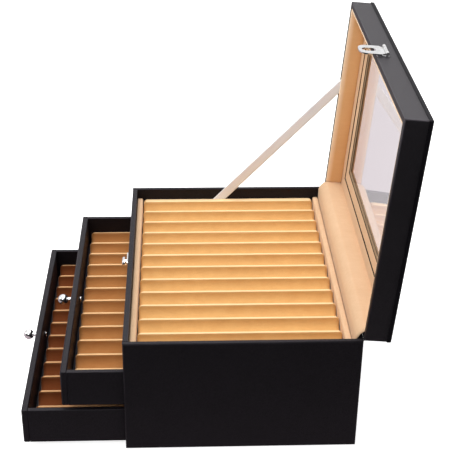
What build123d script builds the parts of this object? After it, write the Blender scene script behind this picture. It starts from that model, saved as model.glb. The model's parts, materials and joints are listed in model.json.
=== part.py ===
from build123d import *
from math import acos, cos, pi, radians, sin
import os

# Pen collector chest: a leatherette case with a windowed lid, a grooved top tray and two
# grooved drawers. Millimetres, +Z up. X runs across the grooves, the drawers slide out
# towards -Y, and the lid turns on two butt hinges along the top of the back.
# The origin is the centre of the case's footprint, on the surface that it stands on.

os.makedirs("parts", exist_ok=True)

# ---------------------------------------------------------------- driving dimensions
case_width = 300.0
case_depth = 210.0
case_height = 116.0
board = 5.0                 # wrapped board of the case
edge_round = 1.4            # wrapped outer edges
felt = 0.7                  # sheet glued under the case
felt_inset = 2.0

lid_height = 24.0
lid_board = 4.0             # top board, stands proud of the lid's walls
lid_overhang = 0.7
lid_open = 94.6             # stored pose, held by the ribbon
seam = 0.4                  # gap between the closed lid and the case

tray_depth = 27.3           # from the rim to the tray's floor
drawer_depth = 202.0
drawer_side = 4.5
drawer_front = 6.0
drawer_floor = 3.0
run_under = 0.3             # running gaps round a drawer
run_over = 0.7
run_side = 0.5
drawer_out = {"lower": 93.0, "middle": 56.0}

groove_count = 12
groove_pitch = 23.2
groove_depth = 8.5
groove_radius = 10.6
ridge_round = 0.7
insert_height = 15.5        # foam insert, from its board to its ridges
insert_end_round = 4.0
insert_gap = 3.0            # black strip left behind a drawer's front
soft_gap = 0.3              # between wrapped foam pieces and their neighbours

pad_width = 5.7             # soft bars before and behind the tray's grooves
pad_rise = 1.3
tray_front_gap = 0.8
back_card = 1.8             # lining of the case's back wall
lid_card = 1.6              # lining of the lid's walls
lid_back_pad = 3.0
lid_back_crown = 0.9
gusset_thickness = 0.8
gusset_bulge = 0.6

window_border = 32.0        # lid wall to window opening
border_card = 2.6
border_width = 15.5
moulding_gap = 0.6
moulding_height = 1.6
moulding_lip = 3.0
moulding_lip_height = 0.8
glass = 2.0
glass_lap = 5.0
glass_gap = 0.1

ribbon_width = 10.0
ribbon_thickness = 0.6
ribbon_tuck = 12.0
ribbon_play = 0.25
ribbon_foot_y = -10.0       # where it leaves the tray, at ridge height
ribbon_head_dy = -119.5     # where it crosses the lid's rim, from the hinge line

hinge_x = 95.0
hinge_length = 28.0
hinge_leaf = 0.9
hinge_leaf_height = 13.0
hinge_pin = 1.0             # radius
hinge_barrel = 1.8          # radius
hinge_relief = 0.3
running = 0.05              # radial clearance of a turning fit

plate = 1.2                 # sheet of the hasp's base and of the catch's plate
screw_sides = 12
leaf_screw_radius = 1.4
leaf_screw_length = 4.2
leaf_screw_inset = 6.0      # from the leaf's ends
leaf_screw_drop = 8.0       # from the hinge line
catch_screw_radius = 1.1
catch_screw_length = 3.6
catch_screw_inset = 2.4     # from the plate's ends
hasp_width = 22.0
hasp_reach = 15.0           # leaf below the lid's rim
hasp_pivot = 10.0           # pivot above the lid's rim
hasp_sheet = 1.2
hasp_lift = 0.3             # leaf above the plates
hasp_pin = 0.8              # radius
hasp_barrel = 1.6           # radius
hasp_barrel_gap = 0.2       # barrel above its plate
hasp_knuckle = 4.0
hasp_base_low = 0.6         # its plate's edge above the lid's rim
hasp_screw_rise = 5.0
hasp_end_round = 8.0
hasp_corner = 3.0
catch_drop = 5.5            # catch below the lid's rim
catch_width = 20.0
catch_height = 9.4
knob_long = 11.4
knob_wide = 6.6
knob_thick = 2.7
knob_neck = 2.0             # radius
knob_play = 0.4             # head above the leaf
slot_play = 0.6
rivet_radius = 3.4
rivet_thick = 1.1
rivet_play = 0.15           # each side of the rivet, along its axis

ball_radius = 5.2
ball_stand = 10.0           # ball's centre before the drawer's front
ball_neck = 2.2             # radius
ball_bands = 5              # turned flats that make up the ball
rosette_radius = 4.6
rosette_thick = 1.2
knob_rise = 2.0             # above the middle of the drawer's front
bolt_radius = 1.5
bolt_grip = 5.0             # length inside the knob
bolt_head_radius = 3.2
bolt_head_thick = 1.6

# ---------------------------------------------------------------- worked-out places
half_width = case_width / 2
half_depth = case_depth / 2
inner_x = half_width - board
front_y = -half_depth
back_inner_y = half_depth - board
floor_top = felt + board
tier = (case_height - tray_depth - floor_top) / 2
drawer_height = tier - run_under - run_over - board
drawer_base = {"lower": floor_top + run_under, "middle": floor_top + tier + run_under}
shelf_z = floor_top + tier - board
deck_z = shelf_z + tier
tray_floor = deck_z + board
ridge_z = tray_floor + insert_height
case_rim = case_height - seam / 2
drawer_half = inner_x - run_side

lid_turn = radians(lid_open)
lid_plane = Plane(
    origin=(0, half_depth, case_height),
    x_dir=(1, 0, 0),
    z_dir=(0, sin(lid_turn), cos(lid_turn)),
)
lid_rim = seam / 2
lid_wall_top = lid_height - lid_board
ceiling = lid_wall_top - border_card


def lid_point(x, dy, dz):
    """A point of the lid, from its hinge line and rim, in the case's frame."""
    return lid_plane.from_local_coords(Vector(x, dy, dz))


def lid_section(x):
    """A plane across the lid at x, with dy to the right, dz up and +X as its normal."""
    return Plane(origin=lid_point(x, 0, 0), x_dir=lid_plane.y_dir, z_dir=(1, 0, 0))


def case_section(x):
    """A plane across the case at x, with y to the right, z up and +X as its normal."""
    return Plane(origin=(x, 0, 0), x_dir=(0, 1, 0), z_dir=(1, 0, 0))


def save(part, name):
    """Label a finished piece and write its file."""
    part.label = name
    export_step(part, f"parts/{name}.step")


def block(x, y, z, base=Plane.XY):
    """A plain board between the given limits, on the case's or the lid's plane."""
    with BuildPart() as made:
        with BuildSketch(base.offset(z[0])):
            with Locations(((x[0] + x[1]) / 2, (y[0] + y[1]) / 2)):
                Rectangle(x[1] - x[0], y[1] - y[0])
        extrude(amount=z[1] - z[0])
    return made.part


# ---------------------------------------------------------------- small fasteners
def flush_screw(radius, length):
    """A plain screw from the origin down, its head flush with z = 0, with few facets."""
    with BuildPart() as screw:
        with BuildSketch():
            RegularPolygon(radius, screw_sides)
        extrude(amount=-length)
    return screw.part


leaf_screw = flush_screw(leaf_screw_radius, leaf_screw_length)
catch_screw = flush_screw(catch_screw_radius, catch_screw_length)
leaf_screw_x = hinge_length / 2 - leaf_screw_inset
hinge_places = [-hinge_x, hinge_x]
leaf_screw_places = [x + side * leaf_screw_x for x in hinge_places for side in (-1, 1)]
leaf_face = half_depth + hinge_leaf
case_leaf_screws = [
    Plane((x, leaf_face, case_height - leaf_screw_drop), x_dir=(1, 0, 0), z_dir=(0, 1, 0))
    for x in leaf_screw_places
]
lid_leaf_screws = [
    Plane(lid_point(x, hinge_leaf, leaf_screw_drop), x_dir=(1, 0, 0), z_dir=lid_plane.y_dir)
    for x in leaf_screw_places
]
hinge_clear = hinge_barrel + hinge_relief


def screws(screw, planes):
    """A set of the same screw, one on each plane."""
    return Compound(children=[screw.moved(plane.location) for plane in planes])


def rod(radius, x0, x1, plane_of, centre):
    """A rod along X from x0 to x1, about a point of the given sections."""
    with BuildPart() as made:
        with BuildSketch(plane_of(x0)):
            with Locations(centre):
                Circle(radius)
        extrude(amount=x1 - x0)
    return made.part


def hinge_rod(radius, x0, x1):
    """A rod about the lid's hinge line."""
    return rod(radius, x0, x1, case_section, (half_depth, case_height))


def hinge_seat(x):
    """The relief in a back board that a hinge's barrel turns in."""
    reach = hinge_length / 2 + hinge_relief
    return hinge_rod(hinge_clear, x - reach, x + reach)


# ---------------------------------------------------------------- case boards
catch_z = case_height - catch_drop
catch_face = front_y - plate
catch_axis_plane = Plane((0, front_y, catch_z), x_dir=(1, 0, 0), z_dir=(0, -1, 0))

for side, name in ((-1, "case_side_left"), (1, "case_side_right")):
    with BuildPart() as case_side:
        add(block(sorted((side * inner_x, side * half_width)), (-half_depth, half_depth), (felt, case_rim)))
        outer_face = case_side.faces().sort_by(Axis.X)[-1 if side > 0 else 0]
        fillet(outer_face.edges(), edge_round)
    save(case_side.part, name)

with BuildPart() as case_back:
    add(block((-inner_x, inner_x), (back_inner_y, half_depth), (felt, case_rim)))
    for x in hinge_places:
        add(hinge_seat(x), mode=Mode.SUBTRACT)
    add(screws(leaf_screw, case_leaf_screws), mode=Mode.SUBTRACT)
save(case_back.part, "case_back")

with BuildPart() as case_floor:
    add(block((-inner_x, inner_x), (front_y, back_inner_y), (felt, floor_top)))
save(case_floor.part, "case_floor")

with BuildPart() as drawer_shelf:
    add(block((-inner_x, inner_x), (front_y, back_inner_y), (shelf_z, shelf_z + board)))
    front_face = drawer_shelf.faces().sort_by(Axis.Y)[0]
    fillet(front_face.edges().filter_by(Axis.X), edge_round / 2)
save(drawer_shelf.part, "drawer_shelf")

with BuildPart() as tray_deck:
    add(block((-inner_x, inner_x), (front_y + board, back_inner_y), (deck_z, tray_floor)))
save(tray_deck.part, "tray_deck")

rivet_seat = rivet_thick + 2 * rivet_play
catch_screw_x = catch_width / 2 - catch_screw_inset
catch_screws = [
    Plane((side * catch_screw_x, catch_face, catch_z), x_dir=(1, 0, 0), z_dir=(0, -1, 0))
    for side in (-1, 1)
]
with BuildPart() as front_rail:
    add(block((-inner_x, inner_x), (front_y, front_y + board), (deck_z, case_rim)))
    rail_front = front_rail.faces().sort_by(Axis.Y)[0]
    fillet(rail_front.edges().filter_by(Axis.X), edge_round / 2)
    with Locations(catch_axis_plane.location):
        Cylinder(knob_neck + running, 2 * board, mode=Mode.SUBTRACT)
    with BuildSketch(catch_axis_plane.offset(-board)):
        Circle(rivet_radius + knob_play)
    extrude(amount=rivet_seat, mode=Mode.SUBTRACT)
    add(screws(catch_screw, catch_screws), mode=Mode.SUBTRACT)
save(front_rail.part, "front_rail")

with BuildPart() as base_felt:
    add(block(
        (-half_width + felt_inset, half_width - felt_inset),
        (-half_depth + felt_inset, half_depth - felt_inset), (0, felt),
    ))
    fillet(base_felt.edges().filter_by(Axis.Z), edge_round)
save(base_felt.part, "base_felt")


# ---------------------------------------------------------------- grooved inserts
def grooved_insert(half, y, base, rounded_ends=(0, 1)):
    """A wrapped foam slab with scooped grooves along Y, its ridges rounded off at the named ends."""
    top = base + insert_height
    with BuildPart() as made:
        with BuildSketch(Plane.XZ.offset(-y[1])) as section:
            with Locations((0, (base + top) / 2)):
                Rectangle(2 * half, insert_height)
            with Locations((0, top - groove_depth + groove_radius)):
                with GridLocations(groove_pitch, 1, groove_count, 1):
                    Circle(groove_radius, mode=Mode.SUBTRACT)
            fillet(section.vertices().group_by(Axis.Y)[-1], ridge_round)
        extrude(amount=y[1] - y[0])
        with BuildSketch(case_section(-half)) as profile:
            with Locations(((y[0] + y[1]) / 2, (base + top) / 2)):
                Rectangle(y[1] - y[0], insert_height)
            upper = profile.vertices().group_by(Axis.Y)[-1].sort_by(Axis.X)
            fillet([upper[end] for end in rounded_ends], insert_end_round)
        extrude(amount=2 * half, mode=Mode.INTERSECT)
    return made.part


# ---------------------------------------------------------------- ribbon
# A flat strip beside the far wall, from under the tray's insert to the lid's lining.
ribbon_x = -inner_x + ribbon_thickness / 2 + ribbon_play / 2
ribbon_foot = Vector(ribbon_x, ribbon_foot_y, ridge_z)
ribbon_head = lid_point(ribbon_x, ribbon_head_dy, lid_rim)
ribbon_run = ribbon_head - ribbon_foot
ribbon_middle = (ribbon_foot + ribbon_head) * 0.5
ribbon_length = ribbon_run.length + 2 * ribbon_tuck
ribbon_plane = Plane(ribbon_middle, x_dir=ribbon_run.normalized(), z_dir=(1, 0, 0))


def ribbon_strip(play):
    """The ribbon, or with play the pocket that it is tucked into."""
    with BuildPart() as made:
        with BuildSketch(ribbon_plane.offset(-ribbon_thickness / 2 - play)):
            Rectangle(ribbon_length + 2 * play, ribbon_width + 2 * play)
        extrude(amount=ribbon_thickness + 2 * play)
    return made.part


ribbon_pocket = ribbon_strip(ribbon_play)
with BuildPart() as lid_ribbon:
    add(ribbon_strip(0))
save(lid_ribbon.part, "lid_ribbon")
print(f"ribbon: {ribbon_length:.1f} mm long, {ribbon_run.length:.1f} mm free")

# ---------------------------------------------------------------- top tray's soft pieces
tray_half = inner_x - soft_gap
pad_front_y = front_y + board + soft_gap
lining_y = back_inner_y - back_card
rear_pad_y = lining_y - soft_gap - pad_width
tray_y = (pad_front_y + pad_width + tray_front_gap, rear_pad_y - tray_front_gap)

with BuildPart() as tray_insert:
    add(grooved_insert(tray_half, tray_y, tray_floor))
    add(ribbon_pocket, mode=Mode.SUBTRACT)
save(tray_insert.part, "tray_insert")


def soft_bar(x, y, base, crown):
    """A wrapped bar along X whose top is crowned between its long sides."""
    shoulder = ridge_z
    with BuildPart() as made:
        with BuildSketch(case_section(x[0])):
            with BuildLine():
                Polyline((y[0], shoulder), (y[0], base), (y[1], base), (y[1], shoulder))
                ThreePointArc(
                    (y[1], shoulder), ((y[0] + y[1]) / 2, shoulder + crown), (y[0], shoulder),
                )
            make_face()
        extrude(amount=x[1] - x[0])
    return made.part


with BuildPart() as tray_front_pad:
    add(soft_bar((-tray_half, tray_half), (pad_front_y, pad_front_y + pad_width), tray_floor, pad_rise))
save(tray_front_pad.part, "tray_front_pad")

with BuildPart() as tray_rear_pad:
    add(soft_bar((-tray_half, tray_half), (rear_pad_y, rear_pad_y + pad_width), tray_floor, pad_rise))
save(tray_rear_pad.part, "tray_rear_pad")

lining_top = case_rim - soft_gap
with BuildPart() as case_back_lining:
    with BuildSketch(case_section(-tray_half)):
        with BuildLine():
            Polyline(
                (back_inner_y, lining_top), (back_inner_y, tray_floor),
                (lining_y, tray_floor), (lining_y, lining_top - back_card / 2),
            )
            RadiusArc((lining_y, lining_top - back_card / 2), (back_inner_y, lining_top), back_card)
        make_face()
    extrude(amount=2 * tray_half)
save(case_back_lining.part, "case_back_lining")


# ---------------------------------------------------------------- drawers
def drawer_knob_plane(front, base):
    """The plane on a drawer's front where its knob stands, facing out."""
    height = base + drawer_height / 2 + knob_rise
    return Plane((0, front, height), x_dir=(1, 0, 0), z_dir=(0, -1, 0))


def ball_profile():
    """Corners of the ball's turned flats, from its neck to the small flat on its nose."""
    neck_angle = -acos(ball_neck / ball_radius)
    step = (pi / 2 - neck_angle) / (ball_bands + 0.5)
    angles = [neck_angle + band * step for band in range(ball_bands + 1)]
    return [(ball_radius * cos(angle), ball_stand + ball_radius * sin(angle)) for angle in angles]


for tier_name, out in drawer_out.items():
    base = drawer_base[tier_name]
    top = base + drawer_height
    front = front_y - out
    behind_front = front + drawer_front
    rear = front + drawer_depth
    inner_half = drawer_half - drawer_side
    inner_rear = rear - drawer_side
    knob_plane = drawer_knob_plane(front, base)

    with BuildPart() as drawer_front_board:
        add(block((-drawer_half, drawer_half), (front, behind_front), (base, top)))
        face = drawer_front_board.faces().sort_by(Axis.Y)[0]
        fillet(face.edges(), edge_round)
        with Locations(knob_plane.location):
            Cylinder(bolt_radius, 3 * drawer_front, mode=Mode.SUBTRACT)
    save(drawer_front_board.part, f"{tier_name}_drawer_front")

    for side, side_name in ((-1, "left"), (1, "right")):
        with BuildPart() as drawer_side_board:
            add(block(sorted((side * inner_half, side * drawer_half)), (behind_front, rear), (base, top)))
            upper = drawer_side_board.edges().filter_by(Axis.Y).group_by(Axis.Z)[-1]
            fillet(upper, edge_round / 2)
        save(drawer_side_board.part, f"{tier_name}_drawer_side_{side_name}")

    with BuildPart() as drawer_back:
        add(block((-inner_half, inner_half), (inner_rear, rear), (base, top)))
        fillet(drawer_back.edges().filter_by(Axis.X).group_by(Axis.Z)[-1], edge_round / 2)
    save(drawer_back.part, f"{tier_name}_drawer_back")

    with BuildPart() as drawer_bottom:
        add(block((-inner_half, inner_half), (behind_front, inner_rear), (base, base + drawer_floor)))
    save(drawer_bottom.part, f"{tier_name}_drawer_bottom")

    with BuildPart() as drawer_insert:
        insert_y = (behind_front + insert_gap, inner_rear - soft_gap)
        add(grooved_insert(inner_half - soft_gap, insert_y, base + drawer_floor, rounded_ends=(0,)))
    save(drawer_insert.part, f"{tier_name}_drawer_insert")

    with BuildPart() as ball_knob:
        with BuildSketch(Plane.XZ):
            with BuildLine():
                flats = ball_profile()
                Polyline(
                    (0, 0), (rosette_radius, 0), (rosette_radius, rosette_thick),
                    (ball_neck, rosette_thick), *flats, (0, flats[-1][1]), (0, 0),
                )
            make_face()
        revolve(axis=Axis.Z)
        with Locations((0, 0, bolt_grip / 2)):
            Cylinder(bolt_radius, bolt_grip, mode=Mode.SUBTRACT)
    save(ball_knob.part.moved(knob_plane.location), f"{tier_name}_drawer_knob")

    with BuildPart() as knob_bolt:
        with BuildSketch(Plane.XZ):
            with BuildLine():
                Polyline(
                    (0, bolt_grip), (bolt_radius, bolt_grip), (bolt_radius, -drawer_front),
                    (bolt_head_radius, -drawer_front),
                    (bolt_head_radius, -drawer_front - bolt_head_thick),
                    (0, -drawer_front - bolt_head_thick), (0, bolt_grip),
                )
            make_face()
        revolve(axis=Axis.Z)
    save(knob_bolt.part.moved(knob_plane.location), f"{tier_name}_drawer_knob_bolt")

# ---------------------------------------------------------------- lid boards
lid_front_dy = -case_depth
hasp_dy = lid_front_dy
hasp_face_plane = Plane(
    lid_point(0, hasp_dy, 0), x_dir=(1, 0, 0), z_dir=-lid_plane.y_dir,
)
hasp_out = plate + hasp_lift                # inner face of the leaf, from the wall
hasp_axis_out = plate + hasp_barrel + hasp_barrel_gap   # pivot, from the wall
hasp_base_high = hasp_pivot + hasp_barrel
hasp_screws = [
    Plane(lid_point(side * hasp_width / 4, hasp_dy - plate, hasp_screw_rise),
          x_dir=(1, 0, 0), z_dir=-lid_plane.y_dir)
    for side in (-1, 1)
]

lid_up = Axis((0, 0, 0), lid_plane.z_dir)      # up the closed lid
lid_in = Axis((0, 0, 0), lid_plane.y_dir)      # from its front to its hinges
for side, name in ((-1, "lid_side_left"), (1, "lid_side_right")):
    with BuildPart() as lid_side:
        add(block(
            sorted((side * inner_x, side * half_width)), (lid_front_dy, 0),
            (lid_rim, lid_wall_top), lid_plane,
        ))
        outer_face = lid_side.faces().sort_by(Axis.X)[-1 if side > 0 else 0]
        fillet(outer_face.edges().sort_by(lid_up)[:-1], edge_round)
    save(lid_side.part, name)

with BuildPart() as lid_front:
    add(block((-inner_x, inner_x), (lid_front_dy, lid_front_dy + board), (lid_rim, lid_wall_top), lid_plane))
    fillet(lid_front.faces().sort_by(lid_in)[0].edges().sort_by(lid_up)[0], edge_round / 2)
    add(screws(catch_screw, hasp_screws), mode=Mode.SUBTRACT)
save(lid_front.part, "lid_front")

with BuildPart() as lid_back:
    add(block((-inner_x, inner_x), (-board, 0), (lid_rim, lid_wall_top), lid_plane))
    for x in hinge_places:
        add(hinge_seat(x), mode=Mode.SUBTRACT)
    add(screws(leaf_screw, lid_leaf_screws), mode=Mode.SUBTRACT)
save(lid_back.part, "lid_back")

window_x = inner_x - window_border
window_y = (lid_front_dy + board + window_border, -board - window_border)
with BuildPart() as lid_top:
    add(block(
        (-half_width - lid_overhang, half_width + lid_overhang),
        (lid_front_dy - lid_overhang, lid_overhang / 2), (lid_wall_top, lid_height), lid_plane,
    ))
    fillet(lid_top.faces().sort_by(lid_up)[-1].edges() + lid_top.edges().filter_by(lid_up), edge_round)
    add(
        block((-window_x, window_x), window_y, (lid_wall_top, lid_height), lid_plane),
        mode=Mode.SUBTRACT,
    )
    add(
        block(
            (-window_x - glass_lap, window_x + glass_lap),
            (window_y[0] - glass_lap, window_y[1] + glass_lap),
            (lid_wall_top, lid_wall_top + glass + glass_gap), lid_plane,
        ),
        mode=Mode.SUBTRACT,
    )
save(lid_top.part, "lid_top")

pane_lap = glass_lap - glass_gap
with BuildPart() as glass_pane:
    add(block(
        (-window_x - pane_lap, window_x + pane_lap),
        (window_y[0] - pane_lap, window_y[1] + pane_lap),
        (lid_wall_top, lid_wall_top + glass), lid_plane,
    ))
save(glass_pane.part, "glass_pane")


# ---------------------------------------------------------------- lid's lining and window frame
def lid_ring(outer_x, outer_y, inner, z):
    """A flat frame round the window: outer limits, and how far in its opening starts."""
    with BuildPart() as made:
        add(block((-outer_x, outer_x), outer_y, z, lid_plane))
        open_x, open_y = outer_x - inner, (outer_y[0] + inner, outer_y[1] - inner)
        add(block((-open_x, open_x), open_y, z, lid_plane), mode=Mode.SUBTRACT)
    return made.part


lid_inner_y = (lid_front_dy + board, -board)
with BuildPart() as window_border_card:
    add(lid_ring(inner_x, lid_inner_y, border_width, (ceiling, lid_wall_top)))
save(window_border_card.part, "window_border")

moulding_in = border_width + moulding_gap
moulding_width = window_border - moulding_in - moulding_lip
moulding_x = inner_x - moulding_in
moulding_y = (lid_inner_y[0] + moulding_in, lid_inner_y[1] - moulding_in)
with BuildPart() as window_moulding:
    add(lid_ring(moulding_x, moulding_y, moulding_width, (lid_wall_top - moulding_height, lid_wall_top)))
    fillet(window_moulding.faces().sort_by(lid_up)[0].edges(), moulding_height / 3)
    add(lid_ring(
        moulding_x - moulding_width, (moulding_y[0] + moulding_width, moulding_y[1] - moulding_width),
        moulding_lip, (lid_wall_top - moulding_lip_height, lid_wall_top),
    ))
save(window_moulding.part, "window_moulding")

lining_low = lid_rim + soft_gap
back_pad_dy = -board - lid_back_pad
side_lining_y = (lid_inner_y[0], back_pad_dy - lid_back_crown - soft_gap)
for side, name in ((-1, "lid_lining_left"), (1, "lid_lining_right")):
    with BuildPart() as lid_lining:
        lining_x = sorted((side * (inner_x - lid_card), side * inner_x))
        add(block(lining_x, side_lining_y, (lining_low, ceiling), lid_plane))
        if side < 0:
            add(ribbon_pocket, mode=Mode.SUBTRACT)
    save(lid_lining.part, name)

with BuildPart() as lid_lining_front:
    add(block(
        (-inner_x + lid_card, inner_x - lid_card), (lid_inner_y[0], lid_inner_y[0] + lid_card),
        (lining_low, ceiling), lid_plane,
    ))
save(lid_lining_front.part, "lid_lining_front")

with BuildPart() as lid_back_lining:
    with BuildSketch(lid_section(-tray_half)):
        with BuildLine():
            Polyline(
                (back_pad_dy, lining_low), (-board, lining_low), (-board, ceiling),
                (back_pad_dy, ceiling),
            )
            ThreePointArc(
                (back_pad_dy, ceiling), (back_pad_dy - lid_back_crown, (lining_low + ceiling) / 2),
                (back_pad_dy, lining_low),
            )
        make_face()
    extrude(amount=2 * tray_half)
save(lid_back_lining.part, "lid_back_lining")

# The soft gusset runs from the case's lining over the hinge to the lid's lining.
gusset_low = Vector(-tray_half, lining_y + soft_gap, case_rim)
gusset_high = lid_point(-tray_half, back_pad_dy, lid_rim)
gusset_run = gusset_high - gusset_low
gusset_side = Vector(0, -gusset_run.Z, gusset_run.Y).normalized()
gusset_middle = (gusset_low + gusset_high) * 0.5 + gusset_side * gusset_bulge


def yz(point):
    """A point's place on a section across the case."""
    return (point.Y, point.Z)


with BuildPart() as hinge_gusset:
    with BuildSketch(case_section(-tray_half)):
        with BuildLine():
            ThreePointArc(yz(gusset_low), yz(gusset_middle), yz(gusset_high))
            Line(yz(gusset_high), yz(gusset_high + gusset_side * gusset_thickness))
            ThreePointArc(
                yz(gusset_high + gusset_side * gusset_thickness),
                yz(gusset_middle + gusset_side * gusset_thickness),
                yz(gusset_low + gusset_side * gusset_thickness),
            )
            Line(yz(gusset_low + gusset_side * gusset_thickness), yz(gusset_low))
        make_face()
    extrude(amount=2 * tray_half)
save(hinge_gusset.part, "hinge_gusset")

# ---------------------------------------------------------------- hinges
knuckle = (hinge_length - 2 * hinge_relief) / 3


def leaf_web(section, side_face, z, x0, x1):
    """One stretch of a hinge leaf's plate, lying on the outside of the back."""
    with BuildPart() as made:
        with BuildSketch(section(x0)):
            with Locations((side_face + hinge_leaf / 2, (z[0] + z[1]) / 2)):
                Rectangle(hinge_leaf, z[1] - z[0])
        extrude(amount=x1 - x0)
    return made.part


with BuildPart() as hinge_leaves_case:
    for x in hinge_places:
        start = x - hinge_length / 2
        low = case_height - hinge_leaf_height
        add(leaf_web(case_section, half_depth, (low, case_height - hinge_clear), start, start + hinge_length))
        for first in (start, start + hinge_length - knuckle):
            add(leaf_web(case_section, half_depth, (low, case_height), first, first + knuckle))
            add(hinge_rod(hinge_barrel, first, first + knuckle))
        add(hinge_rod(hinge_pin, start, start + hinge_length), mode=Mode.SUBTRACT)
    add(screws(leaf_screw, case_leaf_screws), mode=Mode.SUBTRACT)
save(hinge_leaves_case.part, "hinge_leaves_case")

with BuildPart() as hinge_leaves_lid:
    for x in hinge_places:
        start = x - hinge_length / 2
        middle = start + knuckle + hinge_relief
        add(leaf_web(lid_section, 0, (hinge_clear, hinge_leaf_height), start, start + hinge_length))
        add(leaf_web(lid_section, 0, (0, hinge_leaf_height), middle, middle + knuckle))
        add(hinge_rod(hinge_barrel, middle, middle + knuckle))
        add(hinge_rod(hinge_pin + running, middle, middle + knuckle), mode=Mode.SUBTRACT)
    add(screws(leaf_screw, lid_leaf_screws), mode=Mode.SUBTRACT)
save(hinge_leaves_lid.part, "hinge_leaves_lid")

with BuildPart() as hinge_pins:
    for x in hinge_places:
        add(hinge_rod(hinge_pin, x - hinge_length / 2, x + hinge_length / 2))
save(hinge_pins.part, "hinge_pins")

with BuildPart() as hinge_screws_case:
    add(screws(leaf_screw, case_leaf_screws))
save(hinge_screws_case.part, "hinge_screws_case")

with BuildPart() as hinge_screws_lid:
    add(screws(leaf_screw, lid_leaf_screws))
save(hinge_screws_lid.part, "hinge_screws_lid")

# ---------------------------------------------------------------- hasp on the lid's front
# On the hasp's plane x is the case's X, y points up the closed lid and z points out of it.
hasp_half = hasp_width / 2
pivot_centre = (hasp_dy - hasp_axis_out, hasp_pivot)


def hasp_rod(radius, x0, x1):
    """A rod about the hasp's pivot."""
    return rod(radius, x0, x1, lid_section, pivot_centre)


with BuildPart() as hasp_base:
    base_z = (hasp_base_low, hasp_base_high)
    add(block((-hasp_half, hasp_half), (hasp_dy - plate, hasp_dy), base_z, lid_plane))
    fillet(hasp_base.edges().filter_by(lid_in), plate)
    for x0 in (-hasp_half, hasp_half - hasp_knuckle):
        add(block(
            (x0, x0 + hasp_knuckle), (hasp_dy - hasp_axis_out, hasp_dy - plate / 2),
            (hasp_pivot - hasp_barrel, hasp_pivot + hasp_barrel - plate), lid_plane,
        ))
        add(hasp_rod(hasp_barrel, x0, x0 + hasp_knuckle))
    add(hasp_rod(hasp_pin, -hasp_half, hasp_half), mode=Mode.SUBTRACT)
    add(screws(catch_screw, hasp_screws), mode=Mode.SUBTRACT)
save(hasp_base.part, "hasp_base")

with BuildPart() as hasp_screw_pair:
    add(screws(catch_screw, hasp_screws))
save(hasp_screw_pair.part, "hasp_screws")

with BuildPart() as hasp_pin_rod:
    add(hasp_rod(hasp_pin, -hasp_half, hasp_half))
save(hasp_pin_rod.part, "hasp_pin")

slot_long = knob_long + 2 * slot_play
slot_wide = knob_wide + 2 * slot_play
leaf_knuckle = hasp_half - hasp_knuckle - hinge_relief
leaf_top = hasp_pivot - hasp_barrel - hinge_relief
with BuildPart() as hasp_leaf:
    with BuildSketch(hasp_face_plane.offset(hasp_out)) as outline:
        with Locations((0, (leaf_top - hasp_reach) / 2)):
            Rectangle(hasp_width, leaf_top + hasp_reach)
        fillet(outline.vertices().group_by(Axis.Y)[0], hasp_end_round)
        chamfer(outline.vertices().group_by(Axis.Y)[-1], hasp_corner)
        with Locations((0, -catch_drop)):
            SlotOverall(slot_long, slot_wide, rotation=90, mode=Mode.SUBTRACT)
    extrude(amount=hasp_sheet)
    with BuildSketch(hasp_face_plane.offset(hasp_out)):
        with Locations((0, (leaf_top - hasp_sheet + hasp_pivot) / 2)):
            Rectangle(2 * leaf_knuckle, hasp_pivot - leaf_top + hasp_sheet)
    extrude(amount=hasp_sheet)
    add(hasp_rod(hasp_barrel, -leaf_knuckle, leaf_knuckle))
    add(hasp_rod(hasp_pin + running, -leaf_knuckle, leaf_knuckle), mode=Mode.SUBTRACT)
save(hasp_leaf.part, "hasp_leaf")

# ---------------------------------------------------------------- turn catch on the case
with BuildPart() as catch_plate:
    with BuildSketch(catch_axis_plane):
        RectangleRounded(catch_width, catch_height, edge_round)
        Circle(knob_neck + running, mode=Mode.SUBTRACT)
    extrude(amount=plate)
    add(screws(catch_screw, catch_screws), mode=Mode.SUBTRACT)
save(catch_plate.part, "catch_plate")

with BuildPart() as catch_screw_pair:
    add(screws(catch_screw, catch_screws))
save(catch_screw_pair.part, "catch_screws")

head_inner = hasp_out + hasp_sheet + knob_play
rivet_plane = catch_axis_plane.offset(-board + rivet_play)
with BuildPart() as turn_knob:
    with BuildSketch(rivet_plane):
        Circle(rivet_radius)
    extrude(amount=rivet_thick)
    with BuildSketch(rivet_plane):
        Circle(knob_neck)
    extrude(amount=board - rivet_play + head_inner)
    with BuildSketch(catch_axis_plane.offset(head_inner)):
        SlotOverall(knob_long, knob_wide)
    extrude(amount=knob_thick)
    outer = turn_knob.faces().sort_by(Axis.Y)[0]
    chamfer(outer.edges(), knob_thick / 3)
save(turn_knob.part, "turn_knob")
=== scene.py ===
"""Dressing and studio for the pen collector chest, in metres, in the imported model's frame."""
import json
import math

import bmesh
import bpy
from mathutils import Matrix, Vector, noise


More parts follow.
